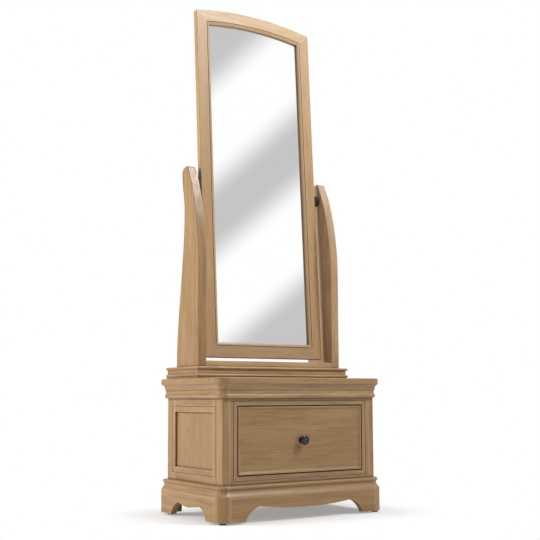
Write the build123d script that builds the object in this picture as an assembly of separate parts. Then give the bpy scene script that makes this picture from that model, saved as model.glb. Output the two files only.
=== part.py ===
from build123d import *

import os
from math import asin, cos, degrees, radians, sin, sqrt, tan

# A cheval mirror of solid oak on a chest with one drawer.
# X runs to the right, Y to the back, Z up. The origin is the middle of the footprint, on the floor.
# All sizes are millimetres. Widths follow from the mirror outwards, heights from the floor upwards.

# Clearances
HOLE_PLAY = 0.1
RUNNING_CLEARANCE = 0.05
FACE_CLEARANCE = 0.3

# Mirror frame
FRAME_WIDTH = 482.0
FRAME_SIDE_HEIGHT = 1230.0
ARCH_RISE = 24.0
FRAME_THICKNESS = 22.0
FRAME_FLAT = 40.0
FRAME_BEAD = 12.0
FRAME_QUIRK_WIDTH = 2.4
FRAME_QUIRK_DEPTH = 2.0
FRAME_BEAD_DROP = 4.0
FRAME_EDGE_BREAK = 1.5
MIRROR_LEAN = 3.3

# Glass, backing board and the clips that hold them in the frame's rebate
GLASS_DEPTH = 11.0
GLASS_THICKNESS = 4.0
REBATE_LAP = 8.0
GLASS_PLAY = 2.0
BACKING_THICKNESS = 4.0
BACKING_PLAY = 1.0
CLIP_THICKNESS = 1.5
CLIP_WIDTH = 14.0
CLIP_REACH = 9.0
CLIP_GRIP = 12.0
CLIPS_PER_SIDE = 3

# Pivots between the mirror and the posts
PIVOT_BELOW_POST_TOP = 65.0
PIVOT_SETBACK = 81.0
PIVOT_PIN_RADIUS = 5.0
PIVOT_PIN_IN_FRAME = 24.0
PIVOT_PIN_IN_POST = 17.0
BUSH_RADIUS = 8.0
BUSH_END_WALL = 2.7
BLOCK_HEIGHT = 38.0
BLOCK_WIDTH = 18.0
BLOCK_THICKNESS = 10.0
BLOCK_CORNER = 4.0
BLOCK_SCREW_RADIUS = 1.8
BLOCK_SCREW_HEAD = 3.4
BLOCK_SCREW_SPACING = 26.0
BLOCK_SCREW_IN_FRAME = 14.0
WASHER_RADIUS = 12.0
WASHER_THICKNESS = 8.2

# Posts
POST_THICKNESS = 32.0
POST_FOOT_DEPTH = 149.0
POST_HEIGHT = 686.0
POST_STRAIGHT = 338.0
POST_FACET_DROP = 60.0
POST_FACET_SETBACK = 50.0
POST_FACET_SLOPE = 24.5
POST_WAIST_DROP = 153.0
POST_WAIST_DEPTH = 98.0
POST_HEAD_DROP = 28.0
POST_HEAD_DEPTH = 115.0
POST_HEAD_RADIUS = 24.0
POST_TOP_RADIUS = 8.0
POST_EDGE_RADIUS = 2.5
POST_FROM_STAGE_FRONT = 20.0

# Cross rail between the feet of the posts, and the gap left under the mirror
CROSS_RAIL_HEIGHT = 20.0
CROSS_RAIL_DEPTH = 24.0
CROSS_RAIL_SETBACK = 2.0
MIRROR_GAP = 11.0

# Bolts that come up through the top board into the posts
BOLT_RADIUS = 4.0
BOLT_HEAD_RADIUS = 8.0
BOLT_HEAD_HEIGHT = 5.0
BOLT_HEAD_GAP = 1.5
BOLT_IN_POST = 70.0
BOLT_FROM_FOOT_FRONT = 40.0
BOLT_SPACING = 70.0

# Stage under the posts
STAGE_STEP = 14.0
STAGE_DEPTH = 207.0
STAGE_BACK_INSET = 8.0
STAGE_HEIGHT = 39.0
STAGE_MEMBER = 55.0
STAGE_NOSE_OUT = 6.0
STAGE_NOSE_RADIUS = 4.5
STAGE_FOOT_OUT = 3.2
STAGE_FOOT_HEIGHT = 6.0
STAGE_BACK_RAIL = 22.0
DECK_THICKNESS = 12.0

# Top board, which has the same outline as the plinth
TOP_MARGIN = 19.5
BASE_DEPTH = 394.0
CORNER_RADIUS = 38.0
TOP_THICKNESS = 21.0
TOP_EDGE_RADIUS = 3.5

# Cornice under the top board
CORNICE_HEIGHT = 45.0
CORNICE_TOP_OUT = 18.0
CORNICE_NECK_OUT = 8.3
CORNICE_LEDGE_OUT = 11.5
CORNICE_COVE_RADIUS = 12.5
CORNICE_BEAD_OUT = 12.1
CORNICE_BEAD_RADIUS = 3.2
CORNICE_BEAD_DROP = 2.4
CORNICE_TORUS_RADIUS = 8.0
CORNICE_TORUS_OUT = 12.0

# Chest carcass
OVERHANG = 22.0
CARCASS_HEIGHT = 370.0
CARCASS_BACK_INSET = 8.0
CARCASS_CORNER_RADIUS = 8.0
SIDE_THICKNESS = 25.0
SIDE_FRONT_STILE = 60.0
SIDE_REAR_STILE = 52.0
SIDE_TOP_RAIL = 89.0
SIDE_BOTTOM_RAIL = 99.0
PANEL_THICKNESS = 9.0
PANEL_REVEAL = 7.0
PANEL_TONGUE = 8.0
PANEL_PLAY = 0.3
LINE_WIDTH = 2.4
LINE_DEPTH = 1.8
SIDE_LINE_MARGIN = 17.0
FRONT_LINE_MARGIN = 14.5
FRONT_THICKNESS = 22.0
FRONT_STILE = 30.0
FRONT_TOP_RAIL = 69.0
FRONT_BOTTOM_RAIL = 83.0
BACK_PANEL = 8.0
BACK_REBATE = 8.0
BACK_RAIL = 22.0
BOTTOM_BOARD = 10.0

# Plinth
GLIDE_HEIGHT = 6.0
GLIDE_RADIUS = 11.0
GLIDE_EDGE_INSET = 24.0
PLINTH_HEIGHT = 75.0
PLINTH_LAP = 19.0
PLINTH_BACK_INSET = 4.0
PLINTH_BACK_RAIL = 22.0
APRON_HEIGHT = 44.5
APRON_DROP = 12.0
FOOT_CURVE_RUN = 52.0
FOOT_CURVE_BULGE = 8.5
FRONT_FOOT = 92.0
SIDE_FRONT_FOOT = 88.0
SIDE_REAR_FOOT = 69.0
BACK_FOOT = 67.0
BACK_GAP_HEIGHT = 32.5
BACK_GAP_RADIUS = 14.0
GLUE_BLOCK = 34.0
GLUE_BLOCK_RAISE = 4.0

# Plinth moulding
PLINTH_MOULDING_HEIGHT = 36.0
PLINTH_NOSE_RADIUS = 6.0
PLINTH_NOSE_OUT = 16.0
PLINTH_NECK_OUT = 11.2
PLINTH_FLARE_HEIGHT = 18.0
PLINTH_FLARE_EDGE = 3.0
PLINTH_FLARE_HOLLOW = 1.2

# Drawer
DRAWER_GAP = 2.5
DRAWER_FRONT = 22.0
DRAWER_LIP = 3.5
DRAWER_BEVEL = 7.0
DRAWER_FIELD_DEPTH = 4.0
DRAWER_SIDE = 12.0
DRAWER_SIDE_DROP = 4.0
DRAWER_BACK_SPACE = 20.0
DRAWER_BOTTOM = 6.0
DRAWER_BOTTOM_RISE = 10.0
DRAWER_GROOVE = 6.0
DRAWER_LAP = 14.0
TAIL_COUNT = 5
TAIL_SLOPE = 8.0
TAIL_GAP = 14.0

# Runners, kickers and stops that guide the drawer
GUIDE_CLEARANCE = 1.0
RUNNER_WIDTH = 50.0
RUNNER_HEIGHT = 20.0
GUIDE_HEIGHT = 30.0
KICKER_HEIGHT = 20.0

# Knob
KNOB_BELOW_MIDDLE = 3.0
KNOB_RADIUS = 16.0
KNOB_PROJECTION = 22.0
KNOB_HEAD = 8.0
KNOB_RIM = 2.0
KNOB_DOME = 1.6
KNOB_ROUND = 3.2
KNOB_NECK_RADIUS = 7.0
KNOB_BASE_RADIUS = 10.0
KNOB_BASE = 3.0
KNOB_RING_RADIUS = 9.5
KNOB_RING_WIDTH = 1.6
KNOB_RING_DEPTH = 1.2
KNOB_SCREW_RADIUS = 2.0
KNOB_SCREW_HEAD_RADIUS = 4.5
KNOB_SCREW_HEAD = 3.0
KNOB_SCREW_REACH = 12.0

# Widths worked out from the mirror outwards
FRAME_X = FRAME_WIDTH / 2
SIGHT_INSET = FRAME_FLAT + FRAME_BEAD
REBATE_INSET = SIGHT_INSET - REBATE_LAP
POST_IN = FRAME_X + BLOCK_THICKNESS + WASHER_THICKNESS + FACE_CLEARANCE
POST_OUT = POST_IN + POST_THICKNESS
STAGE_X = POST_OUT + STAGE_STEP
HALF_W = STAGE_X + TOP_MARGIN
CORNER_X = HALF_W - CORNER_RADIUS
SIDE_X = HALF_W - OVERHANG
INNER_X = SIDE_X - SIDE_THICKNESS
BOLT_X = INNER_X - BOLT_HEAD_RADIUS - BOLT_HEAD_GAP
OPENING_X = INNER_X - FRONT_STILE
DRAWER_X = OPENING_X - DRAWER_GAP
DRAWER_INNER_X = DRAWER_X - DRAWER_SIDE

# Depths, from the front to the back
HALF_D = BASE_DEPTH / 2
FRONT_Y = -HALF_D + OVERHANG
CORNER_Y = -HALF_D + CORNER_RADIUS
FRONT_INNER_Y = FRONT_Y + FRONT_THICKNESS
PLINTH_BACK = HALF_D - PLINTH_BACK_INSET
CARCASS_BACK = HALF_D - CARCASS_BACK_INSET
BACK_Y = CARCASS_BACK - BACK_PANEL
BACK_RAIL_Y = BACK_Y - BACK_RAIL
DRAWER_BACK_Y = BACK_Y - DRAWER_BACK_SPACE
FIELD_Y = FRONT_Y + DRAWER_FIELD_DEPTH
STAGE_BACK = HALF_D - STAGE_BACK_INSET
STAGE_FRONT = STAGE_BACK - STAGE_DEPTH
POST_FRONT = STAGE_FRONT + POST_FROM_STAGE_FRONT
PIVOT_Y = POST_FRONT + PIVOT_SETBACK

# Heights, from the floor upwards
PLINTH_TOP = GLIDE_HEIGHT + PLINTH_HEIGHT
MOULDING_TOP = PLINTH_TOP + PLINTH_MOULDING_HEIGHT
CARCASS_BOTTOM = PLINTH_TOP - PLINTH_LAP
CARCASS_TOP = CARCASS_BOTTOM + CARCASS_HEIGHT
CORNICE_BOTTOM = CARCASS_TOP - CORNICE_HEIGHT
SIDE_OPENING = (CARCASS_BOTTOM + SIDE_BOTTOM_RAIL, CARCASS_TOP - SIDE_TOP_RAIL)
OPENING_LOW = CARCASS_BOTTOM + FRONT_BOTTOM_RAIL
OPENING_HIGH = CARCASS_TOP - FRONT_TOP_RAIL
DRAWER_LOW = OPENING_LOW + DRAWER_GAP
DRAWER_HIGH = OPENING_HIGH - DRAWER_GAP
DRAWER_SIDE_LOW = OPENING_LOW + FACE_CLEARANCE
DRAWER_SIDE_HIGH = OPENING_HIGH - DRAWER_SIDE_DROP
DRAWER_BOTTOM_LOW = DRAWER_SIDE_LOW + DRAWER_BOTTOM_RISE
DRAWER_BOTTOM_HIGH = DRAWER_BOTTOM_LOW + DRAWER_BOTTOM
KNOB_Z = (DRAWER_LOW + DRAWER_HIGH) / 2 - KNOB_BELOW_MIDDLE
TOP_Z = CARCASS_TOP + TOP_THICKNESS
STAGE_TOP = TOP_Z + STAGE_HEIGHT
PIVOT_Z = STAGE_TOP + POST_HEIGHT - PIVOT_BELOW_POST_TOP

# The mirror is drawn upright with its front face on y = 0 and its bottom on z = 0
PIVOT_UP = PIVOT_Z - STAGE_TOP - CROSS_RAIL_HEIGHT - MIRROR_GAP
FRAME_MIDDLE = FRAME_THICKNESS / 2
ARCH_RADIUS = (FRAME_X ** 2 + ARCH_RISE ** 2) / (2 * ARCH_RISE)
ARCH_CENTRE = FRAME_SIDE_HEIGHT + ARCH_RISE - ARCH_RADIUS
BACKING_DEPTH = GLASS_DEPTH + GLASS_THICKNESS
BLOCK_OUTER_X = FRAME_X + BLOCK_THICKNESS
SCREW_HEIGHTS = (PIVOT_UP - BLOCK_SCREW_SPACING / 2, PIVOT_UP + BLOCK_SCREW_SPACING / 2)

nodes = {}


def block(x0, x1, y0, y1, z0, z1):
    """A box between two corners."""
    middle = Pos((x0 + x1) / 2, (y0 + y1) / 2, (z0 + z1) / 2)
    return middle * Box(abs(x1 - x0), abs(y1 - y0), abs(z1 - z0))


def area(u0, u1, v0, v1):
    """A flat rectangle between two corners of a section."""
    return Pos((u0 + u1) / 2, (v0 + v1) / 2) * Rectangle(abs(u1 - u0), abs(v1 - v0))


def mirrored(shape):
    """The same piece for the other side of the object."""
    return mirror(shape, about=Plane.YZ)


def group(pieces):
    """Separate solids that share one node."""
    return Compound(children=list(pieces))


def pair(shape):
    """A left piece and its right copy, which share one node."""
    return group([shape, mirrored(shape)])


def cylinder_x(x0, x1, y, z, radius):
    """A round bar along X."""
    return Pos((x0 + x1) / 2, y, z) * Rot(0, 90, 0) * Cylinder(radius, abs(x1 - x0))


def cylinder_y(x, y0, y1, z, radius):
    """A round bar along Y."""
    return Pos(x, (y0 + y1) / 2, z) * Rot(90, 0, 0) * Cylinder(radius, abs(y1 - y0))


def cylinder_z(x, y, z0, z1, radius):
    """A round bar along Z."""
    return Pos(x, y, (z0 + z1) / 2) * Cylinder(radius, abs(z1 - z0))


def front_run(section, half_length):
    """A moulding along the front. Its section has u going out to the front and v going up."""
    plane = Plane(origin=(half_length, FRONT_Y, 0), x_dir=(0, -1, 0), z_dir=(-1, 0, 0))
    return extrude(plane * section, amount=2 * half_length)


def left_run(section, back):
    """A moulding along the left side, from the rounded corner to the back."""
    plane = Plane(origin=(-SIDE_X, CORNER_Y, 0), x_dir=(-1, 0, 0), z_dir=(0, 1, 0))
    return extrude(plane * section, amount=back - CORNER_Y)


def rounded_corner(section, low, high):
    """The quarter-round left corner of a moulding, solid to its centre and cut to fit the carcass."""
    core = CORNER_RADIUS - OVERHANG
    outline = area(0, core, low, high) + Pos(core, 0) * section
    plane = Plane(origin=(-CORNER_X, CORNER_Y, 0), x_dir=(-1, 0, 0), z_dir=(0, 1, 0))
    axis = Axis((-CORNER_X, CORNER_Y, 0), (0, 0, 1))
    return revolve(plane * outline, axis=axis, revolution_arc=90) - carcass_corner()


def carcass_corner():
    """The carcass's own front left corner, with its softened edge."""
    corner = block(-SIDE_X, 0, FRONT_Y, 0, CARCASS_BOTTOM, CARCASS_TOP)
    return fillet(front_left_edge(corner), CARCASS_CORNER_RADIUS)


def front_left_edge(shape):
    """The upright edge of a box at its front left."""
    return shape.edges().filter_by(Axis.Z).group_by(Axis.X)[0].sort_by(Axis.Y)[0]


# Plinth


def plinth_section():
    """Moulding on the plinth: a nose, a neck and a hollow flare down to the board's face."""
    low, high = PLINTH_TOP, MOULDING_TOP
    neck = area(0, PLINTH_NECK_OUT, low, high)
    nose_u = PLINTH_NOSE_OUT - PLINTH_NOSE_RADIUS
    nose_v = high - PLINTH_NOSE_RADIUS
    nose = Pos(nose_u, nose_v) * Circle(PLINTH_NOSE_RADIUS)
    nose += area(0, nose_u, high - 2 * PLINTH_NOSE_RADIUS, high)
    flare_top = low + PLINTH_FLARE_HEIGHT
    flare_foot = low + PLINTH_FLARE_EDGE
    edge = Polyline((PLINTH_NECK_OUT, flare_top), (0, flare_top), (0, low), (OVERHANG, low), (OVERHANG, flare_foot))
    slope = SagittaArc((OVERHANG, flare_foot), (PLINTH_NECK_OUT, flare_top), PLINTH_FLARE_HOLLOW)
    return neck + nose + make_face(edge + slope)


def apron_profile(left, right):
    """The gap under a plinth board: two foot curves, and a shallow drop between two cusps."""
    low = GLIDE_HEIGHT
    cusp = low + APRON_HEIGHT
    left_cusp, right_cusp = left + FOOT_CURVE_RUN, right - FOOT_CURVE_RUN
    base = Polyline((left, low), (left, 0), (right, 0), (right, low))
    right_foot = SagittaArc((right, low), (right_cusp, cusp), -FOOT_CURVE_BULGE)
    middle = ((left + right) / 2, cusp - APRON_DROP)
    drop = ThreePointArc((right_cusp, cusp), middle, (left_cusp, cusp))
    left_foot = SagittaArc((left_cusp, cusp), (left, low), -FOOT_CURVE_BULGE)
    return make_face(base + right_foot + drop + left_foot)


def plinth():
    """Boards with shaped aprons, a plain back rail and solid rounded front corners."""
    low = GLIDE_HEIGHT
    foot_x = HALF_W - FRONT_FOOT
    front_view = Plane(origin=(0, FRONT_Y, 0), x_dir=(1, 0, 0), z_dir=(0, -1, 0))
    gap = extrude(front_view * apron_profile(-foot_x, foot_x), amount=OVERHANG)
    nodes["plinth_front_board"] = block(-CORNER_X, CORNER_X, -HALF_D, FRONT_Y, low, PLINTH_TOP) - gap

    left_view = Plane(origin=(-HALF_W, 0, 0), x_dir=(0, 1, 0), z_dir=(1, 0, 0))
    profile = apron_profile(-HALF_D + SIDE_FRONT_FOOT, PLINTH_BACK - SIDE_REAR_FOOT)
    side = block(-HALF_W, -SIDE_X, CORNER_Y, PLINTH_BACK, low, PLINTH_TOP)
    side -= extrude(left_view * profile, amount=OVERHANG)
    nodes["plinth_side_board_left"] = side
    nodes["plinth_side_board_right"] = mirrored(side)

    rail_y = PLINTH_BACK - PLINTH_BACK_RAIL
    gap_x = HALF_W - BACK_FOOT
    gap = block(-gap_x, gap_x, rail_y, PLINTH_BACK, 0, low + BACK_GAP_HEIGHT)
    gap = fillet(gap.edges().filter_by(Axis.Y).group_by(Axis.Z)[-1], BACK_GAP_RADIUS)
    nodes["plinth_back_rail"] = block(-SIDE_X, SIDE_X, rail_y, PLINTH_BACK, low, CARCASS_BOTTOM) - gap

    section = plinth_section()
    board = area(0, OVERHANG, low, PLINTH_TOP)
    corner = rounded_corner(board + section, low, MOULDING_TOP)
    nodes["plinth_corner_left"] = corner
    nodes["plinth_corner_right"] = mirrored(corner)
    nodes["plinth_moulding_front"] = front_run(section, CORNER_X)
    nodes["plinth_moulding_left"] = left_run(section, PLINTH_BACK)
    nodes["plinth_moulding_right"] = mirrored(nodes["plinth_moulding_left"])
    nodes["plinth_glue_blocks"] = group(glue_blocks(rail_y))
    nodes["foot_glides"] = group(glides())


def glue_blocks(rail_y):
    """Three-sided blocks inside the plinth, which carry the chest. The front ones fit the round corners."""
    low = GLIDE_HEIGHT + GLUE_BLOCK_RAISE
    front = Polyline((-SIDE_X, CORNER_Y), (-CORNER_X, CORNER_Y), (-CORNER_X, FRONT_Y),
                     (-CORNER_X + GLUE_BLOCK, FRONT_Y), (-SIDE_X, CORNER_Y + GLUE_BLOCK), close=True)
    rear = Polyline((-SIDE_X, rail_y), (-SIDE_X, rail_y - GLUE_BLOCK), (-SIDE_X + GLUE_BLOCK, rail_y), close=True)
    for outline in (front, rear):
        piece = extrude(Pos(0, 0, low) * make_face(outline), amount=CARCASS_BOTTOM - low)
        yield piece
        yield mirrored(piece)


def glides():
    """Round plastic glides with a softened lower edge."""
    x = -HALF_W + GLIDE_EDGE_INSET
    for y in (-HALF_D + GLIDE_EDGE_INSET, PLINTH_BACK - GLIDE_EDGE_INSET):
        glide = cylinder_z(x, y, 0, GLIDE_HEIGHT, GLIDE_RADIUS)
        glide = fillet(glide.edges().group_by(Axis.Z)[0], GLIDE_HEIGHT / 3)
        yield glide
        yield mirrored(glide)


# Chest carcass


def incised_line(plane, u0, u1, v0, v1):
    """The narrow line cut into a face around an opening."""
    outer = area(u0 - LINE_WIDTH, u1 + LINE_WIDTH, v0 - LINE_WIDTH, v1 + LINE_WIDTH)
    return extrude(plane * (outer - area(u0, u1, v0, v1)), amount=LINE_DEPTH)


def side_frames():
    """Each side of the chest: two stiles, two rails and a sunk panel held in their grooves."""
    low, high = CARCASS_BOTTOM, CARCASS_TOP
    sill, head = SIDE_OPENING
    front_in = FRONT_Y + SIDE_FRONT_STILE
    rear_in = CARCASS_BACK - SIDE_REAR_STILE
    face = Plane(origin=(-SIDE_X, 0, 0), x_dir=(0, 1, 0), z_dir=(1, 0, 0))
    margin = SIDE_LINE_MARGIN
    line = incised_line(face, front_in - margin, rear_in + margin, sill - margin, head + margin)
    panel_x = -SIDE_X + PANEL_REVEAL
    deep = PANEL_TONGUE
    groove = block(panel_x, panel_x + PANEL_THICKNESS, front_in - deep, rear_in + deep, sill - deep, head + deep)
    rebate = block(-INNER_X - BACK_REBATE, -INNER_X, BACK_Y, CARCASS_BACK, low, high)

    front_stile = block(-SIDE_X, -INNER_X, FRONT_Y, front_in, low, high)
    front_stile = fillet(front_left_edge(front_stile), CARCASS_CORNER_RADIUS)
    front_stile -= [line, groove]
    rear_stile = block(-SIDE_X, -INNER_X, rear_in, CARCASS_BACK, low, high) - [line, groove, rebate]
    top_rail = block(-SIDE_X, -INNER_X, front_in, rear_in, head, high) - [line, groove]
    bottom_rail = block(-SIDE_X, -INNER_X, front_in, rear_in, low, sill) - [line, groove]
    deep -= PANEL_PLAY
    panel = block(panel_x, panel_x + PANEL_THICKNESS, front_in - deep, rear_in + deep, sill - deep, head + deep)

    nodes["side_front_stile_left"] = front_stile
    nodes["side_front_stile_right"] = mirrored(front_stile)
    nodes["side_rear_stiles"] = pair(rear_stile)
    nodes["side_top_rails"] = pair(top_rail)
    nodes["side_bottom_rails"] = pair(bottom_rail)
    nodes["side_panel_left"] = panel
    nodes["side_panel_right"] = mirrored(panel)


def front_frame():
    """Stiles and rails around the drawer."""
    face = Plane(origin=(0, FRONT_Y, 0), x_dir=(-1, 0, 0), z_dir=(0, 1, 0))
    width = OPENING_X + FRONT_LINE_MARGIN
    line = incised_line(face, -width, width, OPENING_LOW - FRONT_LINE_MARGIN, OPENING_HIGH + FRONT_LINE_MARGIN)
    stile = block(-INNER_X, -OPENING_X, FRONT_Y, FRONT_INNER_Y, CARCASS_BOTTOM, CARCASS_TOP) - line
    nodes["front_stile_left"] = stile
    nodes["front_stile_right"] = mirrored(stile)
    top_rail = block(-OPENING_X, OPENING_X, FRONT_Y, FRONT_INNER_Y, OPENING_HIGH, CARCASS_TOP)
    nodes["front_top_rail"] = top_rail - line
    bottom_rail = block(-OPENING_X, OPENING_X, FRONT_Y, FRONT_INNER_Y, CARCASS_BOTTOM, OPENING_LOW)
    nodes["front_bottom_rail"] = bottom_rail - line


def carcass_inside():
    """Back panel, back rail, bottom board and the strips that guide the drawer."""
    panel_x = INNER_X + BACK_REBATE
    nodes["back_panel"] = block(-panel_x, panel_x, BACK_Y, CARCASS_BACK, CARCASS_BOTTOM, CARCASS_TOP)
    nodes["back_rail"] = block(-INNER_X, INNER_X, BACK_RAIL_Y, BACK_Y, OPENING_HIGH, CARCASS_TOP)
    board_top = CARCASS_BOTTOM + BOTTOM_BOARD
    nodes["bottom_board"] = block(-INNER_X, INNER_X, FRONT_INNER_Y, BACK_Y, CARCASS_BOTTOM, board_top)

    strip_x = INNER_X - RUNNER_WIDTH
    guide_x = DRAWER_X + GUIDE_CLEARANCE
    guide_top = OPENING_LOW + GUIDE_HEIGHT
    runner = block(-INNER_X, -strip_x, FRONT_INNER_Y, BACK_Y, OPENING_LOW - RUNNER_HEIGHT, OPENING_LOW)
    runner += block(-INNER_X, -guide_x, FRONT_INNER_Y, BACK_Y, OPENING_LOW, guide_top)
    nodes["drawer_runners"] = pair(runner)
    kicker = block(-INNER_X, -strip_x, FRONT_INNER_Y, BACK_RAIL_Y, OPENING_HIGH, OPENING_HIGH + KICKER_HEIGHT)
    nodes["drawer_kickers"] = pair(kicker)
    stop_y = DRAWER_BACK_Y + FACE_CLEARANCE
    nodes["drawer_stops"] = pair(block(-guide_x, -strip_x, stop_y, BACK_Y, OPENING_LOW, guide_top))


# Cornice and top board


def cornice_section():
    """Moulding under the top board: a torus, a neck, a bead and a cove."""
    low, high = CORNICE_BOTTOM, CARCASS_TOP
    torus_u = CORNICE_TORUS_OUT - CORNICE_TORUS_RADIUS
    torus_v = low + CORNICE_TORUS_RADIUS
    cove_v = high - CORNICE_COVE_RADIUS
    torus = area(0, torus_u, low, torus_v) + Pos(torus_u, torus_v) * Circle(CORNICE_TORUS_RADIUS)
    section = area(0, CORNICE_NECK_OUT, torus_v, high)
    section += torus & area(0, OVERHANG, low, high)
    bead_v = cove_v - CORNICE_BEAD_DROP
    section += Pos(CORNICE_BEAD_OUT - CORNICE_BEAD_RADIUS, bead_v) * Circle(CORNICE_BEAD_RADIUS)
    ledge = area(0, CORNICE_TOP_OUT, cove_v, high)
    ledge -= Pos(CORNICE_LEDGE_OUT + CORNICE_COVE_RADIUS, cove_v) * Circle(CORNICE_COVE_RADIUS)
    return section + ledge


def cornice():
    section = cornice_section()
    nodes["cornice_front"] = front_run(section, CORNER_X)
    nodes["cornice_left"] = left_run(section, CARCASS_BACK)
    nodes["cornice_right"] = mirrored(nodes["cornice_left"])
    nodes["cornice_corners"] = pair(rounded_corner(section, CORNICE_BOTTOM, CARCASS_TOP))


def top_board():
    """Top board with round front corners, softened edges and the holes for the post bolts."""
    outline = area(-HALF_W, HALF_W, -HALF_D, HALF_D)
    outline = fillet(outline.vertices().group_by(Axis.Y)[0], CORNER_RADIUS)
    board = extrude(Pos(0, 0, CARCASS_TOP) * outline, amount=TOP_THICKNESS)
    rims = board.edges().group_by(Axis.Z)
    board = fillet(rims[0] + rims[-1], TOP_EDGE_RADIUS)
    nodes["top_board"] = board - bolt_holes()


# Stage


def stage_section():
    """Edge of the stage: a foot, a nose, a neck and an upper nose. u is measured out from the neck."""
    radius = STAGE_NOSE_RADIUS
    nose_u = STAGE_NOSE_OUT - radius
    foot_top = TOP_Z + STAGE_FOOT_HEIGHT
    section = area(-STAGE_MEMBER, 0, TOP_Z, STAGE_TOP) + area(0, STAGE_FOOT_OUT, TOP_Z, foot_top)
    for nose_v in (foot_top + radius, STAGE_TOP - radius):
        section += area(0, nose_u, nose_v - radius, nose_v + radius)
        section += Pos(nose_u, nose_v) * Circle(radius)
    return section


def stage():
    """Low moulded stage that carries the posts, mitred at its front corners."""
    section = stage_section()
    left_mitre = Plane(origin=(-STAGE_X, STAGE_FRONT, 0), z_dir=(1, -1, 0))
    right_mitre = Plane(origin=(STAGE_X, STAGE_FRONT, 0), z_dir=(-1, -1, 0))
    tip_x = STAGE_X + STAGE_NOSE_OUT
    tip_y = STAGE_FRONT - STAGE_NOSE_OUT

    plane = Plane(origin=(tip_x, STAGE_FRONT, 0), x_dir=(0, -1, 0), z_dir=(-1, 0, 0))
    front = extrude(plane * section, amount=2 * tip_x)
    front = split(front, bisect_by=left_mitre, keep=Keep.TOP)
    nodes["stage_front"] = split(front, bisect_by=right_mitre, keep=Keep.TOP)

    plane = Plane(origin=(-STAGE_X, tip_y, 0), x_dir=(-1, 0, 0), z_dir=(0, 1, 0))
    side = extrude(plane * section, amount=STAGE_BACK - tip_y)
    side = split(side, bisect_by=left_mitre, keep=Keep.BOTTOM) - bolt_holes()
    nodes["stage_left"] = side
    nodes["stage_right"] = mirrored(side)

    inner_x = STAGE_X - STAGE_MEMBER
    rail_y = STAGE_BACK - STAGE_BACK_RAIL
    nodes["stage_back_rail"] = block(-inner_x, inner_x, rail_y, STAGE_BACK, TOP_Z, STAGE_TOP)
    deck_y = STAGE_FRONT + STAGE_MEMBER
    nodes["stage_deck"] = block(-inner_x, inner_x, deck_y, rail_y, STAGE_TOP - DECK_THICKNESS, STAGE_TOP)


# Posts and cross rail


def bolt_bars(z0, z1, radius):
    """Round bars on the axes of the four post bolts."""
    front = POST_FRONT + BOLT_FROM_FOOT_FRONT
    return [cylinder_z(x, y, z0, z1, radius) for x in (-BOLT_X, BOLT_X) for y in (front, front + BOLT_SPACING)]


def bolt_holes():
    """Holes for the post bolts through the top board and the stage and into the posts."""
    return bolt_bars(CARCASS_TOP, STAGE_TOP + BOLT_IN_POST + HOLE_PLAY, BOLT_RADIUS + HOLE_PLAY)


def post_outline():
    """Side view of a post: u runs from its front to the back, v from its foot upwards."""
    facet_v = POST_HEIGHT - POST_FACET_DROP
    facet_top = POST_FACET_SETBACK + POST_FACET_DROP * tan(radians(POST_FACET_SLOPE))
    rise = facet_v - POST_STRAIGHT
    radius = (rise ** 2 + POST_FACET_SETBACK ** 2) / (2 * POST_FACET_SETBACK)
    half = asin(rise / radius) / 2
    on_curve = (radius * (1 - cos(half)), POST_STRAIGHT + radius * sin(half))
    waist = (POST_WAIST_DEPTH, POST_HEIGHT - POST_WAIST_DROP)
    head = (POST_HEAD_DEPTH, POST_HEIGHT - POST_HEAD_DROP)
    foot_pull = waist[1] / 3
    head_pull = (head[1] - waist[1]) / 3

    front = Line((0, 0), (0, POST_STRAIGHT))
    curve = ThreePointArc((0, POST_STRAIGHT), on_curve, (POST_FACET_SETBACK, facet_v))
    top = Polyline((POST_FACET_SETBACK, facet_v), (facet_top, POST_HEIGHT), (head[0], POST_HEIGHT), head)
    neck = Bezier(head, (head[0], head[1] - head_pull), (waist[0], waist[1] + head_pull), waist)
    back = Bezier(waist, (waist[0], waist[1] - foot_pull), (POST_FOOT_DEPTH, foot_pull), (POST_FOOT_DEPTH, 0))
    foot = Line((POST_FOOT_DEPTH, 0), (0, 0))
    face = make_face(front + curve + top + neck + back + foot)
    face = fillet(face.vertices().group_by(Axis.Y)[-1].sort_by(Axis.X)[-1], POST_HEAD_RADIUS)
    return fillet(face.vertices().group_by(Axis.Y)[-1].sort_by(Axis.X)[0], POST_TOP_RADIUS)


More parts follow.
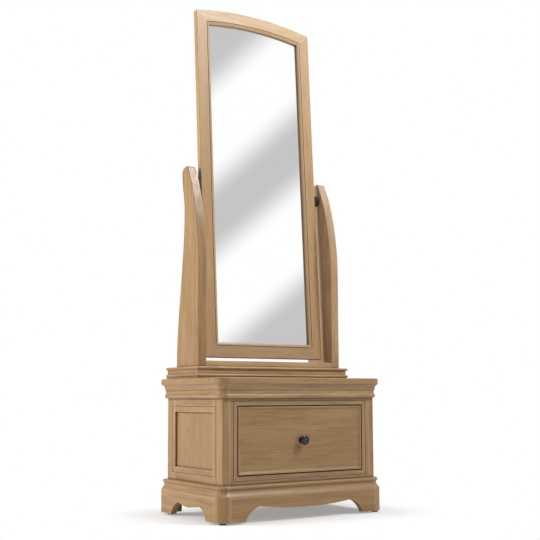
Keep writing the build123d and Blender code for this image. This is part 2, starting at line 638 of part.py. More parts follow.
def posts():
    """Two shaped posts that carry the mirror's pivots, and the rail between their feet."""
    plane = Plane(origin=(-POST_OUT, POST_FRONT, STAGE_TOP), x_dir=(0, 1, 0), z_dir=(1, 0, 0))
    post = extrude(plane * post_outline(), amount=POST_THICKNESS)
    sides = post.edges().group_by(Axis.X)
    arrises = [edge for edge in sides[0] + sides[-1] if edge.center().Z > STAGE_TOP + POST_EDGE_RADIUS]
    post = fillet(arrises, POST_EDGE_RADIUS)
    bush_end = POST_IN + PIVOT_PIN_IN_POST + FACE_CLEARANCE + BUSH_END_WALL
    socket = cylinder_x(-POST_IN, -bush_end - HOLE_PLAY, PIVOT_Y, PIVOT_Z, BUSH_RADIUS + HOLE_PLAY)
    post = post - [socket] - bolt_holes()
    nodes["post_left"] = post
    nodes["post_right"] = mirrored(post)

    rail_y = POST_FRONT + CROSS_RAIL_SETBACK
    rail_top = STAGE_TOP + CROSS_RAIL_HEIGHT
    nodes["cross_rail"] = block(-POST_IN, POST_IN, rail_y, rail_y + CROSS_RAIL_DEPTH, STAGE_TOP, rail_top)

    shanks = bolt_bars(CARCASS_TOP, STAGE_TOP + BOLT_IN_POST, BOLT_RADIUS)
    heads = bolt_bars(CARCASS_TOP - BOLT_HEAD_HEIGHT, CARCASS_TOP, BOLT_HEAD_RADIUS)
    nodes["post_bolts"] = group(shank + head for shank, head in zip(shanks, heads))

    bush = cylinder_x(-POST_IN, -bush_end, PIVOT_Y, PIVOT_Z, BUSH_RADIUS)
    bore_end = POST_IN + PIVOT_PIN_IN_POST + FACE_CLEARANCE
    bush -= cylinder_x(-POST_IN, -bore_end, PIVOT_Y, PIVOT_Z, PIVOT_PIN_RADIUS + RUNNING_CLEARANCE)
    nodes["pivot_bushes"] = pair(bush)


# Mirror


def hung(shape):
    """Takes a piece drawn on the upright mirror to its place on the pivots, leaning back a little."""
    return Pos(0, PIVOT_Y, PIVOT_Z) * Rot(-MIRROR_LEAN, 0, 0) * Pos(0, -FRAME_MIDDLE, -PIVOT_UP) * shape


def frame_section():
    """Section of the frame: u runs in from the outer edge, v runs back from the front face."""
    quirk_end = FRAME_FLAT + FRAME_QUIRK_WIDTH
    flat = Polyline((0, 0), (FRAME_FLAT, 0), (FRAME_FLAT, FRAME_QUIRK_DEPTH), (quirk_end, FRAME_QUIRK_DEPTH),
                    (quirk_end, 0))
    bead = TangentArc((quirk_end, 0), (SIGHT_INSET, FRAME_BEAD_DROP), tangent=(1, 0))
    back = Polyline((SIGHT_INSET, FRAME_BEAD_DROP), (SIGHT_INSET, GLASS_DEPTH), (REBATE_INSET, GLASS_DEPTH),
                    (REBATE_INSET, FRAME_THICKNESS), (0, FRAME_THICKNESS), (0, 0))
    section = make_face(flat + bead + back)
    return chamfer(section.vertices().group_by(Axis.X)[0], FRAME_EDGE_BREAK)


def arch_height(inset, x):
    """Height of the arch that lies inset inside the frame's outer edge, at the distance x from the middle."""
    return ARCH_CENTRE + sqrt((ARCH_RADIUS - inset) ** 2 - x ** 2)


def mirror_frame():
    """Four mitred members with one moulded section, the top one bent to the arch."""
    section = frame_section()
    sight_x = FRAME_X - SIGHT_INSET
    drop = FRAME_SIDE_HEIGHT - arch_height(SIGHT_INSET, sight_x)
    top_mitres = [Plane(origin=(s * FRAME_X, 0, FRAME_SIDE_HEIGHT), z_dir=(-s * drop, 0, SIGHT_INSET)) for s in (-1, 1)]
    foot_mitres = [Plane(origin=(s * FRAME_X, 0, 0), z_dir=(-s, 0, -1)) for s in (-1, 1)]

    plane = Plane(origin=(-FRAME_X, 0, 0), x_dir=(1, 0, 0), z_dir=(0, 0, 1))
    stile = extrude(plane * section, amount=FRAME_SIDE_HEIGHT)
    stile = split(stile, bisect_by=top_mitres[0], keep=Keep.BOTTOM)
    stile = split(stile, bisect_by=foot_mitres[0], keep=Keep.BOTTOM)
    pin_end = FRAME_X - PIVOT_PIN_IN_FRAME - HOLE_PLAY
    holes = [cylinder_x(-FRAME_X, -pin_end, FRAME_MIDDLE, PIVOT_UP, PIVOT_PIN_RADIUS + HOLE_PLAY)]
    screw_end = FRAME_X - BLOCK_SCREW_IN_FRAME - HOLE_PLAY
    for z in SCREW_HEIGHTS:
        holes.append(cylinder_x(-FRAME_X, -screw_end, FRAME_MIDDLE, z, BLOCK_SCREW_RADIUS + HOLE_PLAY))
    stile -= holes
    nodes["mirror_stile_left"] = hung(stile)
    nodes["mirror_stile_right"] = hung(mirrored(stile))

    plane = Plane(origin=(FRAME_X, 0, 0), x_dir=(0, 0, 1), z_dir=(-1, 0, 0))
    rail = extrude(plane * section, amount=FRAME_WIDTH)
    for mitre in foot_mitres:
        rail = split(rail, bisect_by=mitre, keep=Keep.TOP)
    nodes["mirror_bottom_rail"] = hung(rail)

    half = asin((FRAME_X + SIGHT_INSET) / ARCH_RADIUS)
    end = (-ARCH_RADIUS * sin(half), 0, ARCH_CENTRE + ARCH_RADIUS * cos(half))
    at_end = Plane(origin=end, x_dir=(sin(half), 0, -cos(half)), z_dir=(cos(half), 0, sin(half)))
    centre_line = Axis((0, 0, ARCH_CENTRE), (0, 1, 0))
    arch = revolve(at_end * section, axis=centre_line, revolution_arc=2 * degrees(half))
    for mitre in top_mitres:
        arch = split(arch, bisect_by=mitre, keep=Keep.TOP)
    nodes["mirror_top_rail"] = hung(arch)


def arched_plate(inset, depth, thickness):
    """A flat plate whose outline runs parallel to the frame's."""
    x = FRAME_X - inset
    shoulder = arch_height(inset, x)
    lines = Polyline((-x, shoulder), (-x, inset), (x, inset), (x, shoulder))
    arc = ThreePointArc((x, shoulder), (0, arch_height(inset, 0)), (-x, shoulder))
    plane = Plane(origin=(0, depth, 0), x_dir=(1, 0, 0), z_dir=(0, -1, 0))
    return extrude(plane * make_face(lines + arc), amount=-thickness)


def mirror_plates():
    """Glass and backing board in the frame's rebate."""
    nodes["mirror_glass"] = hung(arched_plate(REBATE_INSET + GLASS_PLAY, GLASS_DEPTH, GLASS_THICKNESS))
    nodes["backing_board"] = hung(arched_plate(REBATE_INSET + BACKING_PLAY, BACKING_DEPTH, BACKING_THICKNESS))


def backing_clips():
    """Bent clips on the back of the stiles, which press on the backing board."""
    rebate_x = -FRAME_X + REBATE_INSET
    tip_x = rebate_x + CLIP_REACH
    back = FRAME_THICKNESS
    for number in range(CLIPS_PER_SIDE):
        middle = FRAME_SIDE_HEIGHT * (number + 0.5) / CLIPS_PER_SIDE
        low, high = middle - CLIP_WIDTH / 2, middle + CLIP_WIDTH / 2
        clip = block(rebate_x - CLIP_GRIP, tip_x, back, back + CLIP_THICKNESS, low, high)
        clip += block(tip_x - CLIP_THICKNESS, tip_x, BACKING_DEPTH + BACKING_THICKNESS, back, low, high)
        yield hung(clip)
        yield hung(mirrored(clip))


def pivots():
    """A metal block on each edge of the mirror, with the pin that turns in the post's bush."""
    plane = Plane(origin=(-FRAME_X, FRAME_MIDDLE, PIVOT_UP), x_dir=(0, 1, 0), z_dir=(-1, 0, 0))
    plate = extrude(plane * RectangleRounded(BLOCK_WIDTH, BLOCK_HEIGHT, BLOCK_CORNER), amount=BLOCK_THICKNESS)
    bore = PIVOT_PIN_RADIUS + HOLE_PLAY
    head_x = -BLOCK_OUTER_X + BLOCK_SCREW_RADIUS
    holes = [cylinder_x(-FRAME_X, -BLOCK_OUTER_X, FRAME_MIDDLE, PIVOT_UP, bore)]
    screws = []
    for z in SCREW_HEIGHTS:
        shank = cylinder_x(-BLOCK_OUTER_X, -FRAME_X + BLOCK_SCREW_IN_FRAME, FRAME_MIDDLE, z, BLOCK_SCREW_RADIUS)
        head = cylinder_x(-BLOCK_OUTER_X, head_x, FRAME_MIDDLE, z, BLOCK_SCREW_HEAD)
        screws.append(hung(shank + head))
        holes.append(cylinder_x(-BLOCK_OUTER_X, -FRAME_X, FRAME_MIDDLE, z, BLOCK_SCREW_RADIUS + HOLE_PLAY))
        holes.append(cylinder_x(-BLOCK_OUTER_X, head_x + HOLE_PLAY, FRAME_MIDDLE, z, BLOCK_SCREW_HEAD + HOLE_PLAY))
    nodes["pivot_blocks"] = pair(hung(plate - holes))
    nodes["pivot_block_screws"] = group(screws + [mirrored(screw) for screw in screws])

    pin_start = -FRAME_X + PIVOT_PIN_IN_FRAME
    pin = cylinder_x(pin_start, -POST_IN - PIVOT_PIN_IN_POST, FRAME_MIDDLE, PIVOT_UP, PIVOT_PIN_RADIUS)
    nodes["pivot_pins"] = pair(hung(pin))
    washer_end = -BLOCK_OUTER_X - WASHER_THICKNESS
    washer = cylinder_x(-BLOCK_OUTER_X, washer_end, FRAME_MIDDLE, PIVOT_UP, WASHER_RADIUS)
    washer -= cylinder_x(-BLOCK_OUTER_X, washer_end, FRAME_MIDDLE, PIVOT_UP, bore)
    nodes["friction_washers"] = pair(hung(washer))


# Drawer


def tails(root_y, tip_y, low, high):
    """Dovetail tails of the left drawer side, which widen from their root to their tip."""
    pitch = (high - low) / TAIL_COUNT
    tip_half = (pitch - TAIL_GAP) / 2
    root_half = tip_half - abs(tip_y - root_y) / TAIL_SLOPE
    plane = Plane(origin=(-DRAWER_X, 0, 0), x_dir=(0, 1, 0), z_dir=(1, 0, 0))
    solids = []
    for number in range(TAIL_COUNT):
        z = low + pitch * (number + 0.5)
        outline = Polyline((root_y, z - root_half), (tip_y, z - tip_half), (tip_y, z + tip_half),
                           (root_y, z + root_half), close=True)
        solids.append(extrude(plane * make_face(outline), amount=DRAWER_SIDE))
    return solids


def drawer():
    """Drawer with a bevelled front, lapped dovetails in front and through dovetails behind."""
    front_back = FRONT_Y + DRAWER_FRONT
    back_in = DRAWER_BACK_Y - DRAWER_SIDE
    edge_x = DRAWER_INNER_X + DRAWER_GROOVE
    groove_y = front_back - DRAWER_GROOVE
    low, high = DRAWER_BOTTOM_LOW, DRAWER_BOTTOM_HIGH
    groove = block(-edge_x, edge_x, groove_y, DRAWER_BACK_Y, low, high)
    front_tails = tails(front_back, front_back - DRAWER_LAP, DRAWER_LOW, DRAWER_SIDE_HIGH)
    rear_tails = tails(back_in, DRAWER_BACK_Y, high, DRAWER_SIDE_HIGH)
    right_tails = [mirrored(tail) for tail in front_tails]
    right_rear_tails = [mirrored(tail) for tail in rear_tails]

    front = block(-DRAWER_X, DRAWER_X, FRONT_Y, front_back, DRAWER_LOW, DRAWER_HIGH) - sunk_field()
    hole = cylinder_y(0, FIELD_Y, front_back, KNOB_Z, KNOB_SCREW_RADIUS + HOLE_PLAY)
    nodes["drawer_front"] = front - front_tails - right_tails - [groove, hole]

    side = block(-DRAWER_X, -DRAWER_INNER_X, front_back, back_in, DRAWER_SIDE_LOW, DRAWER_SIDE_HIGH)
    side += block(-DRAWER_X, -DRAWER_INNER_X, back_in, DRAWER_BACK_Y, DRAWER_SIDE_LOW, high)
    side = side + front_tails + rear_tails - [groove]
    nodes["drawer_sides"] = pair(side)
    back = block(-DRAWER_X, DRAWER_X, back_in, DRAWER_BACK_Y, high, DRAWER_SIDE_HIGH)
    nodes["drawer_back"] = back - rear_tails - right_rear_tails
    edge_x -= PANEL_PLAY
    nodes["drawer_bottom"] = block(-edge_x, edge_x, groove_y + PANEL_PLAY, DRAWER_BACK_Y, low, high)


def sunk_field():
    """What is cut away from the drawer front inside its lip: a flat field with bevelled edges."""
    face = Plane(origin=(0, FRONT_Y, (DRAWER_LOW + DRAWER_HIGH) / 2), x_dir=(1, 0, 0), z_dir=(0, -1, 0))
    width = 2 * (DRAWER_X - DRAWER_LIP)
    height = DRAWER_HIGH - DRAWER_LOW - 2 * DRAWER_LIP
    rim = face * Rectangle(width, height)
    floor = face.offset(-DRAWER_FIELD_DEPTH) * Rectangle(width - 2 * DRAWER_BEVEL, height - 2 * DRAWER_BEVEL)
    return loft([floor, rim])


def knob():
    """Turned knob with a ring cut in its face, and the screw that holds it from inside the drawer."""
    tip = KNOB_PROJECTION + DRAWER_FIELD_DEPTH
    head = tip - KNOB_HEAD
    shoulder = (KNOB_RADIUS - KNOB_ROUND, tip - KNOB_DOME)
    base = Polyline((0, 0), (KNOB_BASE_RADIUS, 0), (KNOB_BASE_RADIUS, KNOB_BASE), (KNOB_NECK_RADIUS, KNOB_BASE))
    neck = TangentArc((KNOB_NECK_RADIUS, KNOB_BASE), (KNOB_RADIUS, head), tangent=(0, 1))
    rim = Line((KNOB_RADIUS, head), (KNOB_RADIUS, head + KNOB_RIM))
    shoulder_arc = TangentArc((KNOB_RADIUS, head + KNOB_RIM), shoulder, tangent=(0, 1))
    dome = TangentArc((0, tip), shoulder, tangent=(1, 0))
    face = make_face(base + neck + rim + shoulder_arc + dome + Line((0, tip), (0, 0)))
    face -= area(KNOB_RING_RADIUS, KNOB_RING_RADIUS + KNOB_RING_WIDTH, tip - KNOB_DOME - KNOB_RING_DEPTH, tip)
    plane = Plane(origin=(0, FIELD_Y, KNOB_Z), x_dir=(1, 0, 0), z_dir=(0, 0, -1))
    turned = revolve(plane * face, axis=Axis((0, FIELD_Y, KNOB_Z), (0, 1, 0)))

    screw_tip = FIELD_Y - KNOB_SCREW_REACH
    front_back = FRONT_Y + DRAWER_FRONT
    hole = cylinder_y(0, FIELD_Y, screw_tip - HOLE_PLAY, KNOB_Z, KNOB_SCREW_RADIUS + HOLE_PLAY)
    nodes["knob"] = turned - hole
    screw = cylinder_y(0, screw_tip, front_back, KNOB_Z, KNOB_SCREW_RADIUS)
    screw += cylinder_y(0, front_back, front_back + KNOB_SCREW_HEAD, KNOB_Z, KNOB_SCREW_HEAD_RADIUS)
    nodes["knob_screw"] = screw


plinth()
side_frames()
front_frame()
carcass_inside()
cornice()
top_board()
stage()
posts()
mirror_frame()
mirror_plates()
nodes["backing_clips"] = group(backing_clips())
pivots()
drawer()
knob()

os.makedirs("parts", exist_ok=True)
for name, shape in nodes.items():
    export_step(shape, "parts/" + name + ".step")
print(len(nodes), "nodes")
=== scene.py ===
import math
import bpy
from mathutils import Matrix, Vector

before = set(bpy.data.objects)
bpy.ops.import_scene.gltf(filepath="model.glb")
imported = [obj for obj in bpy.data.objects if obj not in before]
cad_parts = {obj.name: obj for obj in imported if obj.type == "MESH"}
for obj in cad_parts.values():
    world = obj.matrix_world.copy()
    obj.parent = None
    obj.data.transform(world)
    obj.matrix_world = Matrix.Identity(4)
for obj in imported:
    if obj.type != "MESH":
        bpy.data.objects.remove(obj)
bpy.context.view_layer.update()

# Plinth.
# Boards with shaped aprons, a plain back rail and two solid rounded corner blocks, sawn from light
# natural oak and finished with a satin lacquer that leaves the grain and pores to be seen.

def plugged(tree, node, sockets):
    """Sets a node's inputs, each to a value or to another node's output."""
    for socket, value in sockets.items():
        if isinstance(value, bpy.types.NodeSocket):
            tree.links.new(value, node.inputs[socket])
        else:
            node.inputs[socket].default_value = value
    return node


def placed(tree, kind, sockets=None, **settings):
    """Adds a node to a tree, with its own settings and its inputs."""
    node = tree.nodes.new(kind)
    for setting, value in settings.items():
        setattr(node, setting, value)
    return plugged(tree, node, sockets or {})


def ranged(tree, value, low, high, to_low=0.0, to_high=1.0):
    """Carries a value from one range over to another."""
    limits = {"From Min": low, "From Max": high, "To Min": to_low, "To Max": to_high}
    return placed(tree, "ShaderNodeMapRange", {"Value": value, **limits}).outputs["Result"]


def calculated(tree, kind, a, b):
    """The result of one operation on two values."""
    return placed(tree, "ShaderNodeMath", {0: a, 1: b}, operation=kind).outputs[0]


def blended(tree, factor, a, b, kind="MIX"):
    """A blend of two colours."""
    sockets = {"Factor": factor, 6: a, 7: b}
    return placed(tree, "ShaderNodeMix", sockets, data_type="RGBA", blend_type=kind).outputs[2]


def effect_group(name, takes, gives):
    """An empty node group with named inputs and outputs, and its two ends."""
    group = bpy.data.node_groups.new(name, "ShaderNodeTree")
    for label, kind in takes.items():
        group.interface.new_socket(label, in_out="INPUT", socket_type="NodeSocket" + kind)
    for label, kind in gives.items():
        group.interface.new_socket(label, in_out="OUTPUT", socket_type="NodeSocket" + kind)
    return group, group.nodes.new("NodeGroupInput").outputs, group.nodes.new("NodeGroupOutput").inputs


def oak_grain_group():
    """Colour, roughness and height of lacquered oak. The grain runs along the vector's Z."""
    group, given, result = effect_group(
        "oak_grain",
        {"Vector": "Vector", "Figure": "Float", "Streaks": "Float", "Warmth": "Float", "Depth": "Float"},
        {"Color": "Color", "Roughness": "Float", "Height": "Float"})

    # Grain never runs quite straight: it swings by some millimetres over the length of a board
    swing_scale = (7.0, 7.0, 2.2)
    swing_reach = (0.032, 0.032, 0.0)
    slow = placed(group, "ShaderNodeMapping", {"Vector": given["Vector"], "Scale": swing_scale})
    swing = placed(group, "ShaderNodeTexNoise", {
        "Vector": slow.outputs["Vector"], "Scale": 1.0, "Detail": 2.0, "Roughness": 0.55})
    centred = placed(group, "ShaderNodeVectorMath", {
        0: swing.outputs["Color"], 1: (0.5, 0.5, 0.5)}, operation="SUBTRACT")
    sized = placed(group, "ShaderNodeVectorMath", {
        0: centred.outputs[0], 1: swing_reach}, operation="MULTIPLY")
    swung = placed(group, "ShaderNodeVectorMath", {
        0: given["Vector"], 1: sized.outputs[0]}, operation="ADD")

    def along_grain(scale, detail, roughness, distortion=0.0):
        """Noise drawn out along the grain."""
        drawn = placed(group, "ShaderNodeMapping", {"Vector": swung.outputs[0], "Scale": scale})
        noise = placed(group, "ShaderNodeTexNoise", {
            "Vector": drawn.outputs["Vector"], "Scale": 1.0, "Detail": detail, "Roughness": roughness,
            "Distortion": distortion})
        return noise.outputs["Fac"]

    # The growth rings: a warped distance across the board, cut into early and late wood
    board_lean = (math.radians(-5), math.radians(7), 0.0)
    lean = placed(group, "ShaderNodeMapping", {"Vector": given["Vector"], "Rotation": board_lean})
    rings = placed(group, "ShaderNodeTexWave", {
        "Vector": lean.outputs["Vector"], "Scale": 38.0, "Distortion": 7.0, "Detail": 2.5,
        "Detail Scale": 0.35, "Detail Roughness": 0.6},
        wave_type="RINGS", rings_direction="Z", wave_profile="SAW")
    late = ranged(group, rings.outputs["Fac"], 0.15, 1.0)
    figure = calculated(group, "MULTIPLY", late, given["Figure"])
    streaks = ranged(group, along_grain((85.0, 85.0, 5.0), 4.0, 0.66, 0.6), 0.38, 0.64)
    fibres = ranged(group, along_grain((620.0, 620.0, 9.0), 3.0, 0.6), 0.40, 0.72)
    patches = ranged(group, along_grain((9.0, 9.0, 2.1), 2.0, 0.5, 0.6), 0.34, 0.68)
    pores = ranged(group, along_grain((900.0, 900.0, 26.0), 2.0, 0.7), 0.60, 0.74)

    pale = (0.500, 0.316, 0.150, 1.0)
    honey = (0.400, 0.233, 0.095, 1.0)
    late_wood = (0.215, 0.110, 0.044, 1.0)
    pore_tone = (0.150, 0.080, 0.038, 1.0)
    grain_strength = 0.72
    fibre_strength = 0.20
    base = blended(group, calculated(group, "MULTIPLY", patches, given["Warmth"]), pale, honey)
    grain = calculated(group, "MULTIPLY", streaks, given["Streaks"])
    dark = calculated(group, "MAXIMUM", grain, figure)
    toned = blended(group, calculated(group, "MULTIPLY", dark, grain_strength), base, late_wood)
    fine = blended(group, calculated(group, "MULTIPLY", fibres, fibre_strength), toned, late_wood)
    depth = calculated(group, "MULTIPLY", pores, given["Depth"])
    raised = calculated(group, "MULTIPLY", streaks, -0.35)
    group.links.new(blended(group, depth, fine, pore_tone), result["Color"])
    group.links.new(ranged(group, streaks, 0.0, 1.0, 0.36, 0.48), result["Roughness"])
    group.links.new(calculated(group, "SUBTRACT", raised, pores), result["Height"])
    return group


def painted_arris_highlight_group():
    """Painted highlight: pales the colour towards the convex arrises, where the lamps catch them."""
    group, given, result = effect_group(
        "painted_arris_highlight", {"Color": "Color", "Width": "Float"}, {"Color": "Color"})
    highlight_oak_tone = (0.640, 0.490, 0.340, 1.0)
    arrises = placed(group, "ShaderNodeAmbientOcclusion", {
        "Distance": given["Width"]}, samples=8, inside=True, only_local=True)
    highlight_amount = ranged(group, arrises.outputs["AO"], 0.45, 0.95, 0.55, 0.0)
    group.links.new(blended(group, highlight_amount, given["Color"], highlight_oak_tone), result["Color"])
    return group


def painted_corner_shade_group():
    """Painted shade: darkens the colour in grooves, quirks, inner corners and the gaps between members,
    where shade falls.
    """
    group, given, result = effect_group(
        "painted_corner_shade", {"Color": "Color", "Reach": "Float"}, {"Color": "Color"})
    painted_shade_brown = (0.030, 0.014, 0.007, 1.0)
    corners = placed(group, "ShaderNodeAmbientOcclusion", {"Distance": given["Reach"]}, samples=8)
    shade_amount = ranged(group, corners.outputs["AO"], 0.25, 0.92, 1.0, 0.0)
    group.links.new(blended(group, shade_amount, given["Color"], painted_shade_brown), result["Color"])
    return group


def new_material(name):
    """A material, its node tree and its shader."""
    material = bpy.data.materials.new(name)
    material.use_nodes = True
    return material, material.node_tree, material.node_tree.nodes["Principled BSDF"]


oak_grain = oak_grain_group()
painted_arris_highlight = painted_arris_highlight_group()
painted_corner_shade = painted_corner_shade_group()
grain_turns = {"X": (0.0, math.radians(90), 0.0), "Y": (math.radians(90), 0.0, 0.0), "Z": (0.0, 0.0, 0.0)}


def oak(name, grain, shift, figure=0.35, streaks=0.75, warmth=0.6, depth=0.30, tone=None, reach=0.009):
    """Lacquered oak with its grain along one axis, with painted highlights on its arrises and painted shade
    in its inner corners. shift moves the grain, so that no two boards match.
    reach is how far from an inner corner the painted shade goes."""
    material, tree, shader = new_material(name)
    place = placed(tree, "ShaderNodeTexCoord")
    turned = placed(tree, "ShaderNodeMapping", {
        "Vector": place.outputs["Object"], "Location": shift, "Rotation": grain_turns[grain]})
    wood = placed(tree, "ShaderNodeGroup", {
        "Vector": turned.outputs["Vector"], "Figure": figure, "Streaks": streaks, "Warmth": warmth,
        "Depth": depth}, node_tree=oak_grain)
    colour = wood.outputs["Color"]
    # tone multiplies the colour: the plain tone of inner and hidden boards where it is below one, painted
    # sheen where it is above one.
    if tone is not None:
        colour = blended(tree, 1.0, colour, tone + (1.0,), "MULTIPLY")
    # Painted highlight on the arrises.
    arris_highlighted = placed(tree, "ShaderNodeGroup", {"Color": colour, "Width": 0.003}, node_tree=painted_arris_highlight)
    # Painted shade in the inner corners, grooves and gaps.
    corner_shaded = placed(tree, "ShaderNodeGroup", {
        "Color": arris_highlighted.outputs["Color"], "Reach": reach}, node_tree=painted_corner_shade)
    bump = placed(tree, "ShaderNodeBump", {
        "Strength": 0.10, "Distance": 0.0006, "Height": wood.outputs["Height"]})
    plugged(tree, shader, {
        "Base Color": corner_shaded.outputs["Color"], "Roughness": wood.outputs["Roughness"],
        "Normal": bump.outputs["Normal"], "Specular IOR Level": 0.35})
    return material


def finish(node, material):
    """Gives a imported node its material."""
    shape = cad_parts[node]
    for place in range(max(1, len(shape.material_slots))):
        if shape.material_slots:
            shape.material_slots[place].material = material
        else:
            shape.data.materials.append(material)


finish("plinth_front_board", oak("oak_plinth_front", "X", (0.3, 0.1, 0.2)))
finish("plinth_side_board_left", oak("oak_plinth_left", "Y", (0.1, 0.4, 0.2)))
finish("plinth_side_board_right", oak("oak_plinth_right", "Y", (0.7, 0.2, 0.5)))
finish("plinth_back_rail", oak("oak_plinth_back", "X", (0.2, 0.5, 0.9)))
finish("plinth_corner_left", oak("oak_plinth_corner_left", "Z", (0.6, 0.3, 0.1), figure=0.2))
finish("plinth_corner_right", oak("oak_plinth_corner_right", "Z", (0.1, 0.9, 0.4), figure=0.2))
finish("plinth_glue_blocks", oak("oak_glue_blocks", "Z", (0.5, 0.5, 0.5), figure=0.2))

# Plinth moulding.
# Run in lengths along the front and both sides, with a nose, a neck and a flare, and let into the
# rounded corner blocks.
finish("plinth_moulding_front", oak("oak_plinth_moulding_front", "X", (0.9, 0.2, 0.6), figure=0.15))
finish("plinth_moulding_left", oak("oak_plinth_moulding_left", "Y", (0.4, 0.8, 0.3), figure=0.15))
finish("plinth_moulding_right", oak("oak_plinth_moulding_right", "Y", (0.8, 0.1, 0.7), figure=0.15))

# Foot glides.
# Round black plastic glides pressed under the four corners of the plinth, which keep the end grain
# off the floor.

def mottle_group():
    """A cloud between two tones, and its value for gloss or relief."""
    group, given, result = effect_group(
        "mottle",
        {"Vector": "Vector", "Scale": "Float", "Detail": "Float", "Start": "Float", "End": "Float",
         "Low": "Color", "High": "Color"},
        {"Color": "Color", "Value": "Float"})
    cloud = placed(group, "ShaderNodeTexNoise", {
        "Vector": given["Vector"], "Scale": given["Scale"], "Detail": given["Detail"]}).outputs["Fac"]
    spread = ranged(group, cloud, given["Start"], given["End"])
    group.links.new(blended(group, spread, given["Low"], given["High"]), result["Color"])
    group.links.new(cloud, result["Value"])
    return group


mottle = mottle_group()


def mottled(tree, low, high, scale, detail, start=0.0, end=1.0):
    """Places the mottle in a material, between two tones."""
    place = placed(tree, "ShaderNodeTexCoord")
    cloud = placed(tree, "ShaderNodeGroup", {
        "Vector": place.outputs["Object"], "Scale": scale, "Detail": detail, "Start": start, "End": end,
        "Low": low + (1.0,), "High": high + (1.0,)}, node_tree=mottle)
    return cloud.outputs["Color"], cloud.outputs["Value"]


def black_plastic(name):
    """Moulded black plastic with a fine texture."""
    material, tree, shader = new_material(name)
    colour, cloud = mottled(tree, (0.010, 0.010, 0.011), (0.026, 0.026, 0.027), 900.0, 3.0)
    bump = placed(tree, "ShaderNodeBump", {"Strength": 0.2, "Distance": 0.0002, "Height": cloud})
    plugged(tree, shader, {"Base Color": colour, "Normal": bump.outputs["Normal"], "Roughness": 0.55})
    return material


finish("foot_glides", black_plastic("glide_plastic"))

# Chest carcass.
# Framed sides with a sunk panel between stiles and rails, and a front frame round the drawer. The
# stiles and the panels are cut with upright grain, the rails with level grain.

def opening_shade_group():
    """Painted shade: a near-black on all that lies within an upright opening, centred on X."""
    group, given, result = effect_group(
        "painted_opening_shade",
        {"Color": "Color", "Vector": "Vector", "Half Width": "Float", "Middle": "Float",
         "Half Height": "Float"},
        {"Color": "Color"})
    painted_gap_shade = (0.014, 0.008, 0.005, 1.0)
    apart = placed(group, "ShaderNodeSeparateXYZ", {0: given["Vector"]})
    across = placed(group, "ShaderNodeMath", {
        0: apart.outputs["X"], 1: 0.0, 2: given["Half Width"]}, operation="COMPARE")
    upward = placed(group, "ShaderNodeMath", {
        0: apart.outputs["Z"], 1: given["Middle"], 2: given["Half Height"]}, operation="COMPARE")
    inside = calculated(group, "MULTIPLY", across.outputs[0], upward.outputs[0])
    group.links.new(blended(group, inside, given["Color"], painted_gap_shade), result["Color"])
    return group


painted_opening_shade = opening_shade_group()
drawer_half_width = 0.2497
drawer_foot = 0.1433
drawer_top = 0.3647


def shade_drawer_gap(material):
    """Paints shade on the part of a front member that faces the drawer's opening, and on a thin rim of its
    front round the opening.
    """
    tree = material.node_tree
    base_colour = tree.nodes["Principled BSDF"].inputs["Base Color"]
    place = placed(tree, "ShaderNodeTexCoord")
    gap_shaded = placed(tree, "ShaderNodeGroup", {
        "Color": base_colour.links[0].from_socket, "Vector": place.outputs["Object"],
        "Half Width": drawer_half_width, "Middle": (drawer_foot + drawer_top) / 2,
        "Half Height": (drawer_top - drawer_foot) / 2}, node_tree=painted_opening_shade)
    tree.links.new(gap_shaded.outputs["Color"], base_colour)
    return material


finish("side_front_stile_left", oak("oak_front_stile_left", "Z", (0.2, 0.6, 0.4), figure=0.2))
finish("side_front_stile_right", oak("oak_front_stile_right", "Z", (0.8, 0.3, 0.2), figure=0.2))
finish("side_rear_stiles", oak("oak_rear_stiles", "Z", (0.5, 0.1, 0.7), figure=0.2))
finish("side_top_rails", oak("oak_side_top_rails", "Y", (0.3, 0.7, 0.6), figure=0.25))
finish("side_bottom_rails", oak("oak_side_bottom_rails", "Y", (0.9, 0.4, 0.8), figure=0.25))
finish("side_panel_left", oak("oak_side_panel_left", "Z", (0.336, -0.06, -0.35), figure=0.75, streaks=0.45))
finish("side_panel_right", oak("oak_side_panel_right", "Z", (-0.255, 0.04, -0.2), figure=0.75, streaks=0.45))
# The four front members carry painted shade in and round the drawer's gap.
finish("front_stile_left", shade_drawer_gap(oak("oak_stile_left", "Z", (0.7, 0.8, 0.1), figure=0.2)))
finish("front_stile_right", shade_drawer_gap(oak("oak_stile_right", "Z", (0.4, 0.2, 0.9), figure=0.2)))
finish("front_top_rail", shade_drawer_gap(oak("oak_front_top_rail", "X", (0.6, 0.9, 0.3), figure=0.2)))
finish("front_bottom_rail", shade_drawer_gap(oak("oak_front_bottom_rail", "X", (0.1, 0.6, 0.8), figure=0.2)))

# Inside the chest.
# Plain boards that are never seen with the drawer shut: back panel, back rail, bottom board, runners
# with their guides, kickers and stops.
inner_tone = (0.86, 0.84, 0.80)
for number, (node, grain) in enumerate((
        ("back_panel", "X"), ("back_rail", "X"), ("bottom_board", "X"), ("drawer_runners", "Y"),
        ("drawer_kickers", "Y"), ("drawer_stops", "Y"))):
    shift = (0.17 * number, 0.31 * number, 0.23)
    finish(node, oak("oak_" + node, grain, shift, figure=0.4, tone=inner_tone))

